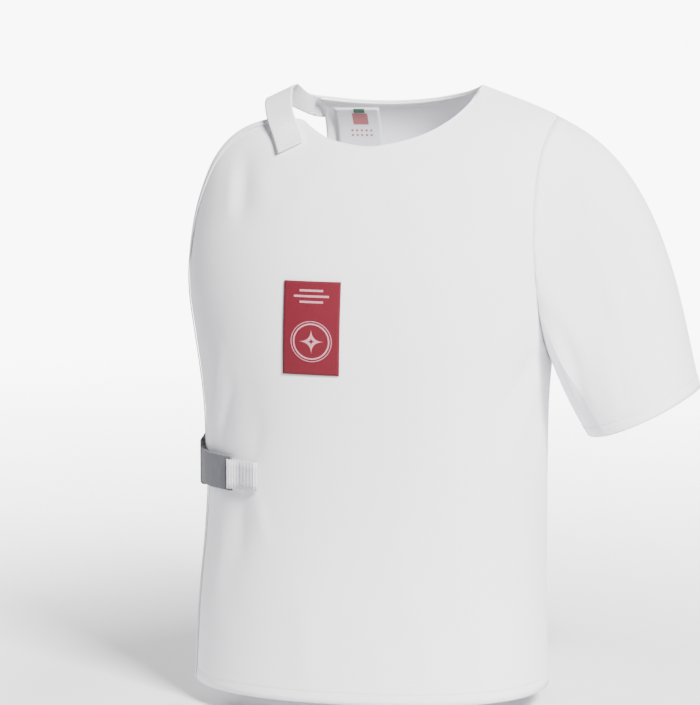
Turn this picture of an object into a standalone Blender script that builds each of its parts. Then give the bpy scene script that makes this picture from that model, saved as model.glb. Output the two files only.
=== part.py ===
"""One-sleeved fencing plastron jacket, standing open as if filled.

The cloth is worked out from a table of body sections: a front and a back panel that
share one side seam and one shoulder seam, a short sleeve with an underarm panel, and
the webbing, buckle and labels that are sewn to them.  Tables are in millimetres.
+X is the wearer's left, -Y the front and +Z up.  The origin is the middle of the neck
opening at the height of the shoulder point next to the neck.
"""

import math

import bmesh
import bpy
import numpy as np
from mathutils import Matrix, Vector
from mathutils.bvhtree import BVHTree

MM = 0.001

# Cloth, webbing and seams
CLOTH_WALL = 2.0
SEAM_GAP = 0.34
LAY_GAP = 0.4
WEBBING = 1.5
TRIM = 1.0
LABEL_WALL = 0.6
BADGE_LIFT = LAY_GAP + 0.2
PAD_LIFT = LAY_GAP + 0.3
LABEL_LIFT = 2 * LAY_GAP + TRIM + 0.2
TAG_LIFT = LABEL_LIFT + LABEL_WALL + LAY_GAP
STRIP_LIFT = LAY_GAP + 0.3
WEBBING_LIFT = LAY_GAP + 0.35

# Body sections: half widths to the wearer's left and right, depths to the front and
# back, and how square each half is (2 is an ellipse).
SECTIONS = (
    # height  left   right  front   back  front_square  back_square
    (0.0, 98.0, 98.0, 17.0, 21.0, 2.0, 2.0),
    (-8.0, 120.0, 115.0, 33.0, 37.0, 2.0, 2.0),
    (-18.0, 147.0, 133.0, 47.0, 53.0, 2.05, 2.05),
    (-32.0, 177.0, 154.0, 62.0, 71.0, 2.1, 2.1),
    (-53.0, 189.0, 174.0, 80.0, 87.0, 2.2, 2.2),
    (-74.0, 193.0, 181.0, 91.0, 96.0, 2.25, 2.25),
    (-95.0, 194.5, 184.0, 100.0, 103.0, 2.3, 2.3),
    (-137.0, 193.0, 192.0, 113.0, 112.0, 2.3, 2.3),
    (-178.0, 187.0, 196.0, 122.0, 116.0, 2.3, 2.3),
    (-198.0, 183.0, 197.0, 124.0, 117.0, 2.3, 2.3),
    (-239.0, 174.5, 192.0, 126.0, 113.0, 2.3, 2.3),
    (-279.0, 167.5, 186.0, 124.0, 108.0, 2.3, 2.3),
    (-340.0, 165.0, 180.0, 119.0, 99.0, 2.3, 2.3),
    (-400.0, 164.6, 177.8, 116.0, 96.0, 2.3, 2.3),
    (-460.0, 164.6, 181.5, 117.0, 97.0, 2.3, 2.3),
    (-520.0, 164.8, 187.5, 120.0, 101.0, 2.3, 2.3),
    (-610.0, 166.6, 192.0, 123.0, 107.0, 2.3, 2.3),
)

# Edges of the panels as they are cut, from the neck outwards or downwards
FRONT_NECKLINE = (
    # across  height
    (98.0, 0.0),
    (95.0, -6.5),
    (88.0, -18.0),
    (69.0, -34.0),
    (40.0, -47.5),
    (0.0, -55.5),
    (-37.0, -51.0),
    (-53.0, -44.5),
    (-65.0, -37.5),
    (-73.0, -31.0),
)
BACK_NECKLINE = (
    # across  height
    (98.0, 0.0),
    (93.0, -3.0),
    (78.0, -9.5),
    (42.0, -18.0),
    (0.0, -22.0),
    (-40.0, -21.0),
    (-73.0, -17.0),
)
FRONT_FREE_EDGE = (
    # across  height
    (-73.0, -31.0),
    (-96.0, -31.5),
    (-118.0, -34.5),
    (-136.0, -42.0),
    (-150.0, -53.0),
    (-165.0, -74.0),
    (-174.0, -95.0),
    (-182.0, -115.0),
    (-187.6, -137.0),
    (-193.3, -178.0),
    (-194.4, -198.0),
    (-189.4, -239.0),
    (-183.4, -279.0),
    (-177.6, -340.0),
    (-175.6, -400.0),
    (-179.2, -460.0),
    (-185.2, -520.0),
    (-189.4, -604.0),
)
BACK_FREE_EDGE = (
    # across  height
    (-73.0, -17.0),
    (-74.0, -60.0),
    (-77.0, -120.0),
    (-84.0, -220.0),
    (-98.0, -340.0),
    (-106.0, -420.0),
    (-114.0, -520.0),
    (-120.0, -604.0),
)

# Armhole, an oval on the body form, and the short sleeve that leaves it
ARMHOLE_MID_HEIGHT = -150.0
ARMHOLE_HALF_HEIGHT = 121.0
ARMHOLE_HALF_TURN = 25.0
HEM_HEIGHT = -604.0
SLEEVE_HEM_CENTRE = (258.0, 0.0, -323.0)
SLEEVE_HEM_LEAN = 24.0
SLEEVE_HEM_HALF_WIDTH = 64.5
SLEEVE_HEM_HALF_DEPTH = 67.0
SLEEVE_HANG_LEAN = 17.0
SLEEVE_PULL_START = 1.22
SLEEVE_PULL_CAP = -0.02
SLEEVE_CAP_RISE = 0.45
SLEEVE_PULL_END = 0.6
SLEEVE_HEM_DROOP = 4.5
SLEEVE_EASE_OUT = 0.35
SLEEVE_UNDER_LEAN = 6.0
SLEEVE_UNDER_CLEAR = 0.3
UNDERARM_TURN = 120.0
UNDERARM_FLAT = 7.0

# Trims, badge and straps
NECK_FACING_WIDTH = 6.0
EDGE_STRIP_WIDTH = 6.5
BADGE_CORNER = (-79.5, -184.0)
BADGE_WIDTH = 57.0
BADGE_HEIGHT = 92.0
BADGE_LEAN = 0.02
STRAP_WIDTH = 29.0
STRAP_STATIONS = 26
PAD_WALL = 1.2
PAD_REACH = 0.8
FRONT_STRAP_CLEAR = 1.2
BACK_STRAP_CLEAR = 1.5
NECK_STRAP = (
    # lies on  middle x, y, z        direction of the strap's width
    ("back", -48.0, 60.0, -34.5, 0.00, 0.62, -0.78),
    ("back", -60.0, 56.0, -33.0, 0.00, 0.62, -0.78),
    ("back", -71.0, 52.0, -31.5, 0.00, 0.62, -0.78),
    ("air", -84.0, 50.0, -27.0, 0.00, 0.60, -0.80),
    ("air", -97.0, 26.0, -15.0, -0.45, 0.50, -0.74),
    ("air", -102.0, 4.0, -9.5, -0.86, 0.15, -0.48),
    ("air", -103.0, -18.0, -9.5, -0.90, -0.05, -0.42),
    ("air", -100.0, -41.0, -15.5, -0.92, 0.06, -0.30),
    ("air", -94.5, -61.5, -28.5, -0.90, 0.22, -0.26),
    ("front", -87.0, -69.0, -45.0, -0.87, 0.36, -0.32),
    ("front", -80.0, -79.5, -59.5, -0.84, 0.36, -0.40),
)

# Waist fastening on the wearer's right
WAIST_HEIGHT = -383.0
TAB_START_ACROSS = -111.0
TAB_LENGTH = 28.0
TAB_WIDTH = 29.0
BAR_BEYOND_TAB = 4.0
BAR_THICKNESS = 3.0
PLATE_WIDTH = 34.0
PLATE_OVERHANG = 11.0
PLATE_END_LIFT = 5.2
MALE_SLOT = 4.5
FEMALE_DIRECTION = (-0.10, 0.99)
FEMALE_LENGTH = 42.0
FEMALE_WIDTH = 48.0
FEMALE_THICKNESS = 9.0
FEMALE_SLOT = 4.5
FEMALE_SLOT_INSET = 6.5
ELASTIC = 1.4
ELASTIC_PATH = (
    # across  depth
    (-182.0, 44.0),
    (-168.0, 66.0),
    (-146.0, 82.0),
    (-120.0, 90.0),
)

# Largest folds of the cloth
FOLDS = (
    # panel   across  height  to_across  to_height  half_width  depth
    ("front", -128.0, -62.0, -126.0, -128.0, 13.0, -3.0),
    ("front", -148.0, -72.0, -150.0, -126.0, 11.0, 2.2),
    ("front", -138.0, -270.0, -168.0, -372.0, 13.0, 3.4),
    ("front", -120.0, -290.0, -146.0, -372.0, 14.0, -3.2),
    ("front", -164.0, -280.0, -172.0, -330.0, 9.0, -2.0),
    ("front", -140.0, -402.0, -150.0, -520.0, 18.0, -2.6),
    ("front", 146.0, -262.0, 118.0, -360.0, 16.0, -2.2),
    ("front", 60.0, -420.0, 78.0, -560.0, 26.0, -1.8),
    ("back", -70.0, -260.0, -88.0, -372.0, 14.0, 3.0),
    ("back", -40.0, -300.0, -66.0, -380.0, 15.0, -2.8),
    ("back", 146.0, -262.0, 110.0, -350.0, 16.0, -2.4),
    ("back", 20.0, -430.0, 30.0, -560.0, 24.0, -2.0),
    ("sleeve", 236.0, -110.0, 214.0, -220.0, 15.0, -2.2),
)

# How finely each sheet of cloth is faceted
FRONT_COLUMNS = 32
BACK_COLUMNS = 26
SHOULDER_COLUMNS = 8
ARMHOLE_ROWS = 15
SIDE_ROWS = 12
TOP_FADE = 4
SIDE_PULL = 3
SLEEVE_COLUMNS = 20
UNDERARM_COLUMNS = 10
SLEEVE_ROWS = 12


# ---------------------------------------------------------------- body form


def section_at(height):
    """Row of section sizes at a height, joined smoothly between the table's rows."""
    rows = np.array(SECTIONS)
    heights = -rows[:, 0]
    place = min(max(-height, heights[0]), heights[-1])
    index = int(min(np.searchsorted(heights, place, side="right") - 1, len(rows) - 2))
    slopes = np.gradient(rows[:, 1:], heights, axis=0)
    span = heights[index + 1] - heights[index]
    t = (place - heights[index]) / span
    start, end = rows[index, 1:], rows[index + 1, 1:]
    leave, arrive = slopes[index] * span, slopes[index + 1] * span
    return (
        (2 * t**3 - 3 * t**2 + 1) * start
        + (t**3 - 2 * t**2 + t) * leave
        + (-2 * t**3 + 3 * t**2) * end
        + (t**3 - t**2) * arrive
    )


def form_point(turn, height):
    """Point of the body form: turn is 0 at the wearer's left and 90 at the front."""
    left, right, front, back, front_square, back_square = section_at(height)
    c = math.cos(math.radians(turn))
    s = math.sin(math.radians(turn))
    half_width = left if c >= 0 else right
    depth = front if s >= 0 else back
    square = front_square if s >= 0 else back_square
    reach = ((abs(c) / half_width) ** square + (abs(s) / depth) ** square) ** (-1 / square)
    return np.array((reach * c, -reach * s, height))


def form_normal(turn, height):
    """Outward direction of the body form."""
    step_turn = form_point(turn + 0.4, height) - form_point(turn - 0.4, height)
    lower = max(height - 0.6, SECTIONS[-1][0])
    upper = min(height + 0.6, 0.0)
    step_up = form_point(turn, upper) - form_point(turn, lower)
    normal = np.cross(step_up, step_turn)
    return normal / np.linalg.norm(normal)


def turn_at(across, height, face):
    """Turn of the place at this distance across, on the front or the back."""
    left, right, front, back, front_square, back_square = section_at(height)
    half_width = left if across >= 0 else right
    depth, square = (front, front_square) if face == "front" else (back, back_square)
    share = min(abs(across) / half_width, 1.0)
    out = depth * (1 - share**square) ** (1 / square)
    angle = math.degrees(math.atan2(out, across))
    return angle if face == "front" else -angle


def smooth_curve(rows, count):
    """Smooth line through the rows, at count places of equal length."""
    knots = np.array(rows, dtype=float)
    padded = np.vstack((2 * knots[0] - knots[1], knots, 2 * knots[-1] - knots[-2]))
    fine = []
    for i in range(1, len(padded) - 2):
        p0, p1, p2, p3 = padded[i - 1 : i + 3]
        for t in np.linspace(0, 1, 16, endpoint=False):
            fine.append(
                0.5
                * (2 * p1 + (p2 - p0) * t + (2 * p0 - 5 * p1 + 4 * p2 - p3) * t**2
                   + (3 * p1 - p0 - 3 * p2 + p3) * t**3)
            )
    fine.append(knots[-1])
    return evenly(np.array(fine), count)


def evenly(points, count):
    """The same line at count places of equal length."""
    steps = np.linalg.norm(np.diff(points, axis=0), axis=1)
    travelled = np.concatenate(((0,), np.cumsum(steps)))
    wanted = np.linspace(0, travelled[-1], count)
    return np.stack([np.interp(wanted, travelled, points[:, k]) for k in range(points.shape[1])], axis=1)


def edge_in_chart(rows, face, count):
    """An edge table as (turn, height) places, evenly spaced on the form itself."""
    line = smooth_curve(rows, count * 8)
    line[:, 1] = np.minimum(line[:, 1], 0.0)
    chart = np.array([(turn_at(across, height, face), height) for across, height in line])
    solid = np.array([form_point(turn, height) for turn, height in chart])
    return evenly(np.hstack((solid, chart)), count)[:, 3:]


# ---------------------------------------------------------------- panels


def armhole_place(angle):
    """(turn, height) of the armhole; angle 0 is the shoulder, 90 the front."""
    return np.array((
        ARMHOLE_HALF_TURN * math.sin(math.radians(angle)),
        ARMHOLE_MID_HEIGHT + ARMHOLE_HALF_HEIGHT * math.cos(math.radians(angle)),
    ))


def seam_shift(height, side):
    """Turn that leaves half a seam gap beside the side and shoulder seams."""
    return side * math.degrees(0.5 * SEAM_GAP / section_at(height)[0])


def patch(left, right, top, bottom):
    """Grid of chart places between four edges.  Each column runs from the top edge to the
    bottom one, and its rows follow the nearer side edge on their way down."""
    u = np.linspace(0, 1, len(top))[None, :]
    v = np.linspace(0, 1, len(left))[:, None]
    left_down = ((left[:, 1] - left[0, 1]) / (left[-1, 1] - left[0, 1]))[:, None]
    right_down = ((right[:, 1] - right[0, 1]) / (right[-1, 1] - right[0, 1]))[:, None]
    by_left, by_right = (1 - u) ** SIDE_PULL, u**SIDE_PULL
    down = by_left * left_down + by_right * right_down + (1 - by_left - by_right) * v
    heights = top[None, :, 1] + (bottom[None, :, 1] - top[None, :, 1]) * down
    fade = (1 - v) ** TOP_FADE
    top_bow = top[None, :, 0] - ((1 - u) * top[0, 0] + u * top[-1, 0])
    bottom_bow = bottom[None, :, 0] - ((1 - u) * bottom[0, 0] + u * bottom[-1, 0])
    turns = (1 - u) * left[:, 0:1] + u * right[:, 0:1] + fade * top_bow + (1 - fade) * bottom_bow
    return np.stack((turns, heights), axis=-1)


def panel_chart(side, neckline, free_edge, face, columns):
    """Chart grid of the front (side 1) or back (side -1) panel."""
    angles = np.linspace(0, 180, ARMHOLE_ROWS + 1) * side
    armhole = np.array([armhole_place(angle) for angle in angles])
    armhole[0, 0] = seam_shift(armhole[0, 1], side)
    armhole[-1, 0] = seam_shift(armhole[-1, 1], side)
    seam_heights = np.linspace(armhole[-1, 1], HEM_HEIGHT, SIDE_ROWS + 1)[1:]
    side_seam = np.array([(seam_shift(height, side), height) for height in seam_heights])
    left = np.vstack((armhole, side_seam))
    right = edge_in_chart(free_edge, face, len(left))
    shoulder_heights = np.linspace(armhole[0, 1], 0, SHOULDER_COLUMNS + 1)
    shoulder = np.array([(seam_shift(height, side), height) for height in shoulder_heights])
    neck = edge_in_chart(neckline, face, columns - SHOULDER_COLUMNS + 1)
    top = np.vstack((shoulder, neck[1:]))
    hem_turns = np.linspace(left[-1, 0], right[-1, 0], columns * 6)
    hem_chart = np.array([(turn, HEM_HEIGHT) for turn in hem_turns])
    hem_solid = np.array([form_point(turn, HEM_HEIGHT) for turn in hem_turns])
    bottom = evenly(np.hstack((hem_solid, hem_chart)), columns + 1)[:, 3:]
    return patch(left, right, top, bottom)


def fold_lift(panel, point):
    """How far the folds raise or sink a place of this panel."""
    lift = 0.0
    here = np.array((point[0], point[2]))
    for name, across, height, to_across, to_height, half_width, depth in FOLDS:
        if name != panel:
            continue
        start, end = np.array((across, height)), np.array((to_across, to_height))
        along = end - start
        t = float(np.dot(here - start, along) / np.dot(along, along))
        off = np.linalg.norm(here - start - min(max(t, 0.0), 1.0) * along)
        fade = math.sin(math.pi * min(max(0.12 + 0.76 * t, 0.0), 1.0))
        lift += depth * fade * math.exp(-((off / half_width) ** 2))
    return lift


def panel_grid(chart, panel):
    """Points and outward directions of a panel, folds included."""
    rows, columns = chart.shape[:2]
    points = np.zeros((rows, columns, 3))
    normals = np.zeros((rows, columns, 3))
    for i in range(rows):
        for j in range(columns):
            turn, height = chart[i, j]
            height = min(height, 0.0)
            normal = form_normal(turn, height)
            point = form_point(turn, height)
            points[i, j] = point + fold_lift(panel, point) * normal
            normals[i, j] = normal
    return points, normals


# ---------------------------------------------------------------- sleeve


def unit(vector):
    return vector / np.linalg.norm(vector)


def lean_down(degrees):
    """Direction that hangs down, leaning out to the wearer's left."""
    return np.array((math.sin(math.radians(degrees)), 0.0, -math.cos(math.radians(degrees))))


def ease(value):
    value = min(max(value, 0.0), 1.0)
    return value * value * (3 - 2 * value)


def sleeve_column(angle):
    """One line of the sleeve, from the armhole to the sleeve hem."""
    angle = (angle + 180) % 360 - 180
    turn, height = armhole_place(angle)
    start = form_point(turn, height)
    normal = form_normal(turn, height)
    ahead = form_point(*armhole_place(angle + 1)) - form_point(*armhole_place(angle - 1))
    into_hole = unit(np.cross(normal, ahead))
    under = ease((abs(angle) - 60) / 80)
    start = start + SEAM_GAP * unit((1 - under) * into_hole + under * normal)
    hang = lean_down(SLEEVE_HANG_LEAN + 8)
    leave = unit(hang - np.dot(hang, normal) * normal)
    hanging = lean_down(SLEEVE_UNDER_LEAN) + SLEEVE_UNDER_CLEAR * normal
    leave = unit((1 - under) * (leave + SLEEVE_EASE_OUT * into_hole) + under * hanging)
    cap = max(math.cos(math.radians(angle)), 0.0) ** 2
    leave = unit(leave + SLEEVE_CAP_RISE * cap * np.array((1.0, 0.0, 0.0)))
    out = np.array((math.cos(math.radians(SLEEVE_HEM_LEAN)), 0.0, math.sin(math.radians(SLEEVE_HEM_LEAN))))
    flat = UNDERARM_FLAT * ease((abs(angle) - 100) / 60)
    end = (
        np.array(SLEEVE_HEM_CENTRE)
        + (SLEEVE_HEM_HALF_WIDTH * math.cos(math.radians(angle)) + flat) * out
        + np.array((0.0, -SLEEVE_HEM_HALF_DEPTH * math.sin(math.radians(angle)), 0.0))
        + np.array((0.0, 0.0, -SLEEVE_HEM_DROOP * math.sin(math.radians(angle)) ** 2))
    )
    reach = np.linalg.norm(end - start)
    arrive = lean_down(SLEEVE_HANG_LEAN + 18 * under)
    pull = SLEEVE_PULL_START + SLEEVE_PULL_CAP * cap
    line = []
    for t in np.linspace(0, 1, SLEEVE_ROWS + 1):
        line.append(
            (2 * t**3 - 3 * t**2 + 1) * start
            + (t**3 - 2 * t**2 + t) * pull * reach * leave
            + (-2 * t**3 + 3 * t**2) * end
            + (t**3 - t**2) * SLEEVE_PULL_END * reach * arrive
        )
    return np.array(line)


def sleeve_grid(first_angle, last_angle, columns):
    """Points and outward directions of part of the sleeve, rows from armhole to hem."""
    angles = np.linspace(first_angle, last_angle, columns + 1)
    points = np.stack([sleeve_column(angle) for angle in angles], axis=1)
    before = np.stack([sleeve_column(angle - 1.5) for angle in angles], axis=1)
    after = np.stack([sleeve_column(angle + 1.5) for angle in angles], axis=1)
    normals = np.zeros_like(points)
    down = np.gradient(points, axis=0)
    for i in range(points.shape[0]):
        for j in range(points.shape[1]):
            normals[i, j] = unit(np.cross(after[i, j] - before[i, j], down[i, j]))
    for i in range(points.shape[0]):
        for j in range(points.shape[1]):
            if points[i, j][1] < 0:
                points[i, j] = points[i, j] + fold_lift("sleeve", points[i, j]) * normals[i, j]
    return points, normals


# ---------------------------------------------------------------- meshes


def material(name, colour, roughness):
    made = bpy.data.materials.new(name)
    made.use_nodes = True
    shader = made.node_tree.nodes["Principled BSDF"]
    shader.inputs["Base Color"].default_value = (*colour, 1.0)
    shader.inputs["Roughness"].default_value = roughness
    return made


def new_object(name, mesh, surface):
    made = bpy.data.objects.new(name, mesh)
    mesh.materials.append(surface)
    jacket.objects.link(made)
    return made


def grid_triangles(rows, columns, offset=0, flip=False):
    """Triangles of a grid of points, numbered row by row."""
    faces = []
    for i in range(rows - 1):
        for j in range(columns - 1):
            a = offset + i * columns + j
            b, c, d = a + 1, a + columns + 1, a + columns
            for face in ((a, b, c), (a, c, d)):
                faces.append(face[::-1] if flip else face)
    return faces


def cloth(name, points, normals, wall, surface, lift=0.0):
    """Closed sheet of cloth.  Both faces follow the same outward directions, so the
    cut edges of neighbouring sheets lie side by side all through their wall."""
    rows, columns = points.shape[:2]
    outer = points + lift * normals
    inner = points + (lift - wall) * normals
    count = rows * columns
    facing = np.dot(np.cross(outer[0, 1] - outer[0, 0], outer[1, 0] - outer[0, 0]), normals[0, 0])
    flip = facing < 0
    faces = grid_triangles(rows, columns, 0, flip) + grid_triangles(rows, columns, count, not flip)
    rim = [j for j in range(columns)]
    rim += [i * columns + columns - 1 for i in range(1, rows)]
    rim += [(rows - 1) * columns + j for j in range(columns - 2, -1, -1)]
    rim += [i * columns for i in range(rows - 2, 0, -1)]
    for k, a in enumerate(rim):
        b = rim[(k + 1) % len(rim)]
        quad = (b, a, a + count, b + count)
        quad = quad[::-1] if flip else quad
        faces.append((quad[0], quad[1], quad[2]))
        faces.append((quad[0], quad[2], quad[3]))
    mesh = bpy.data.meshes.new(name)
    vertices = np.vstack((outer.reshape(-1, 3), inner.reshape(-1, 3))) * MM
    mesh.from_pydata([tuple(v) for v in vertices], [], faces)
    mesh.validate()
    mesh.polygons.foreach_set("use_smooth", [True] * len(mesh.polygons))
    return new_object(name, mesh, surface)


def skin_tree(points, normals, lift=0.0):
    """Search tree of one face of a sheet, for what is laid on it."""
    rows, columns = points.shape[:2]
    face_points = (points + lift * normals).reshape(-1, 3)
    return BVHTree.FromPolygons([Vector(p) for p in face_points], grid_triangles(rows, columns))


def press(tree, start, direction):
    """Place and outward direction where a line meets a sheet."""
    spot, normal, _, _ = tree.ray_cast(Vector(start), Vector(direction))
    if spot is None:
        raise ValueError(f"no cloth at {start}")
    if normal.dot(Vector(direction)) > 0:
        normal = -normal
    return np.array(spot), np.array(normal)


def ribbon(name, lines, wall, surface, centred=False):
    """Strip of webbing or cloth from rows of points, thickened outwards."""
    rows, columns = len(lines), len(lines[0])
    mesh = bpy.data.meshes.new(name)
    vertices = [tuple(np.array(p) * MM) for line in lines for p in line]
    faces = []
    for i in range(rows - 1):
        for j in range(columns - 1):
            a = i * columns + j
            faces.append((a, a + 1, a + columns + 1, a + columns))
    mesh.from_pydata(vertices, [], faces)
    mesh.polygons.foreach_set("use_smooth", [True] * len(mesh.polygons))
    made = new_object(name, mesh, surface)
    thick = made.modifiers.new("wall", "SOLIDIFY")
    thick.thickness = wall * MM
    thick.offset = 0.0 if centred else 1.0
    thick.use_quality_normals = True
    return made


# ---------------------------------------------------------------- scene set up

for old in list(bpy.data.objects):
    bpy.data.objects.remove(old)

jacket = bpy.data.collections.new("fencing_jacket")
cutters = bpy.data.collections.new("cutters")
bpy.context.scene.collection.children.link(jacket)
bpy.context.scene.collection.children.link(cutters)

white_cloth = material("white_cloth", (0.86, 0.86, 0.88), 0.85)
white_trim = material("white_trim", (0.80, 0.80, 0.83), 0.8)
white_webbing = material("white_webbing", (0.82, 0.82, 0.84), 0.75)
grey_elastic = material("grey_elastic", (0.60, 0.60, 0.63), 0.8)
grey_plastic = material("grey_plastic", (0.42, 0.42, 0.45), 0.4)
dark_plastic = material("dark_plastic", (0.10, 0.10, 0.11), 0.4)
red_badge = material("red_badge", (0.55, 0.01, 0.05), 0.7)
satin_label = material("satin_label", (0.82, 0.82, 0.84), 0.45)
green_tag = material("green_tag", (0.03, 0.12, 0.06), 0.6)

# ---------------------------------------------------------------- cloth panels

front_chart = panel_chart(1, FRONT_NECKLINE, FRONT_FREE_EDGE, "front", FRONT_COLUMNS)
front_points, front_normals = panel_grid(front_chart, "front")
cloth("front_panel", front_points, front_normals, CLOTH_WALL, white_cloth)

back_chart = panel_chart(-1, BACK_NECKLINE, BACK_FREE_EDGE, "back", BACK_COLUMNS)
back_points, back_normals = panel_grid(back_chart, "back")
cloth("back_panel", back_points, back_normals, CLOTH_WALL, white_cloth)

gusset_gap = math.degrees(0.75 * SEAM_GAP / SLEEVE_HEM_HALF_WIDTH)
sleeve_points, sleeve_normals = sleeve_grid(
    UNDERARM_TURN - gusset_gap, -UNDERARM_TURN + gusset_gap, SLEEVE_COLUMNS
)
cloth("sleeve", sleeve_points, sleeve_normals, CLOTH_WALL, white_cloth)
under_points, under_normals = sleeve_grid(
    360 - UNDERARM_TURN - gusset_gap, UNDERARM_TURN + gusset_gap, UNDERARM_COLUMNS
)
cloth("underarm_panel", under_points, under_normals, CLOTH_WALL, white_cloth)

front_skin = skin_tree(front_points, front_normals)
back_skin = skin_tree(back_points, back_normals)

# ---------------------------------------------------------------- edge trims

# Facing along the inside of the back neck, and the turned edge of the front's free side
neck_columns = back_points[:2, SHOULDER_COLUMNS + 1 :]
neck_directions = back_normals[:2, SHOULDER_COLUMNS + 1 :]
neck_drops = np.linalg.norm(neck_columns[1] - neck_columns[0], axis=1)
facing_rows = []
facing_directions = []
for drop in (0.6, 0.6 + NECK_FACING_WIDTH):
    share = (drop / neck_drops)[:, None]
    facing_rows.append((1 - share) * neck_columns[0] + share * neck_columns[1])
    facing_directions.append((1 - share) * neck_directions[0] + share * neck_directions[1])
cloth(
    "back_neck_facing",
    np.array(facing_rows),
    np.array(facing_directions),
    TRIM,
    white_trim,
    -CLOTH_WALL - LAY_GAP,
)

edge_columns = front_points[1:, -2:]
edge_directions = front_normals[1:, -2:]
edge_widths = np.linalg.norm(edge_columns[:, 1] - edge_columns[:, 0], axis=1)
hem_strip = []
hem_strip_directions = []
for inset in (EDGE_STRIP_WIDTH, 0.5):
    share = (inset / edge_widths)[:, None]
    hem_strip.append((1 - share) * edge_columns[:, 1] + share * edge_columns[:, 0])
    hem_strip_directions.append((1 - share) * edge_directions[:, 1] + share * edge_directions[:, 0])
cloth(
    "side_edge_strip",
    np.stack(hem_strip, axis=1),
    np.stack(hem_strip_directions, axis=1),
    TRIM,
    white_trim,
    TRIM + STRIP_LIFT,
)

# ---------------------------------------------------------------- chest badge

badge_lines = []
for down in np.linspace(0, BADGE_HEIGHT, 10):
    line = []
    for along in np.linspace(0, BADGE_WIDTH, 8):
        across = BADGE_CORNER[0] + along - BADGE_LEAN * down
        spot, normal = press(front_skin, (across, -300.0, BADGE_CORNER[1] - down), (0, 1, 0))
        line.append(spot + BADGE_LIFT * normal)
    badge_lines.append(line[::-1])
ribbon("chest_badge", badge_lines, TRIM, red_badge)

# ---------------------------------------------------------------- labels inside the back


def inside_patch(name, across, height, width, drop, lift, wall, surface):
    """Rectangle sewn to the inside of the back panel."""
    lines = []
    for down in np.linspace(0, drop, 6):
        line = []
        for along in np.linspace(0, width, 4):
            spot, normal = press(back_skin, (across + along, 300.0, height - down), (0, -1, 0))
            line.append(spot - (CLOTH_WALL + lift) * normal)
        lines.append(line[::-1])
    return ribbon(name, lines, wall, surface)


inside_patch("care_label", -63.0, -27.0, 46.0, 64.0, LABEL_LIFT, LABEL_WALL, satin_label)
inside_patch("size_tag", -43.0, -27.2, 11.0, 4.5, TAG_LIFT, LABEL_WALL, green_tag)

# ---------------------------------------------------------------- neck strap

SKINS = {"front": (front_skin, -300.0, 1.0), "back": (back_skin, 300.0, -1.0)}
STRAP_LIFT = {
    "front": PAD_LIFT + PAD_WALL + FRONT_STRAP_CLEAR + 0.5 * WEBBING,
    "back": LAY_GAP + BACK_STRAP_CLEAR + 0.5 * WEBBING,
}
strap_lines = []
for lies_on, x, y, z, side_x, side_y, side_z in NECK_STRAP:
    middle = np.array((x, y, z))
    side = unit(np.array((side_x, side_y, side_z))) * 0.5 * STRAP_WIDTH
    line = [middle + share * side for share in (-1.0, -0.5, 0.0, 0.5, 1.0)]
    if lies_on != "air":
        skin, far, toward = SKINS[lies_on]
        for k, aim in enumerate(line):
            spot, normal = press(skin, (aim[0], far, aim[2]), (0, toward, 0))
            line[k] = spot + STRAP_LIFT[lies_on] * normal
    strap_lines.append(line)
strap_lines = np.array(strap_lines)
dense = [smooth_curve(strap_lines[:, k], STRAP_STATIONS) for k in range(5)]
ribbon("neck_strap", np.stack(dense, axis=1), WEBBING, white_webbing, centred=True)

pad_lines = []
strap_end, strap_before = strap_lines[-1], strap_lines[-2]
for share in np.linspace(0.0, PAD_REACH, 7):
    line = []
    for corner in range(5):
        aim = (1 - share) * strap_end[corner] + share * strap_before[corner]
        spot, normal = press(front_skin, (aim[0], -300.0, aim[2]), (0, 1, 0))
        line.append(spot + PAD_LIFT * normal)
    pad_lines.append(line[::-1])
ribbon("strap_pad", pad_lines, PAD_WALL, white_trim)

# ---------------------------------------------------------------- waist fastening


def level_places(skin, far, acrosses, height, width):
    """Outermost places of a panel over the width of a band, going level round it."""
    places = []
    for across in acrosses:
        depths = []
        for share in (-0.5, -0.25, 0.0, 0.25, 0.5):
            try:
                spot, _ = press(skin, (across, far, height + share * width), (0, -np.sign(far), 0))
            except ValueError:
                return np.array(places)
            depths.append(spot[1])
        places.append((across, min(depths) if far < 0 else max(depths)))
    return np.array(places)


def upright_band(name, path, height, width, wall, surface, rows=3):
    """Webbing standing on edge: a level path carried over the strap's width."""
    lines = []
    for x, y in path:
        lines.append([(x, y, height + half) for half in np.linspace(-0.5 * width, 0.5 * width, rows)])
    return ribbon(name, lines, wall, surface, centred=True)


side_acrosses = np.linspace(TAB_START_ACROSS, -190.0, 90)
level_path = level_places(front_skin, -300.0, side_acrosses, WAIST_HEIGHT, TAB_WIDTH)
_, waist_half, waist_depth, _, _, _ = section_at(WAIST_HEIGHT)
outward = np.array([unit(np.array((x / waist_half**2, y / waist_depth**2))) for x, y in level_path])
travelled = np.concatenate(((0,), np.cumsum(np.linalg.norm(np.diff(level_path, axis=0), axis=1))))


def beside_panel(length, lift):
    """Place at this length along the level path, lifted off the panel."""
    x = np.interp(length, travelled, level_path[:, 0])
    y = np.interp(length, travelled, level_path[:, 1])
    nx = np.interp(length, travelled, outward[:, 0])
    ny = np.interp(length, travelled, outward[:, 1])
    return np.array((x, y)) + lift * unit(np.array((nx, ny)))


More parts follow.
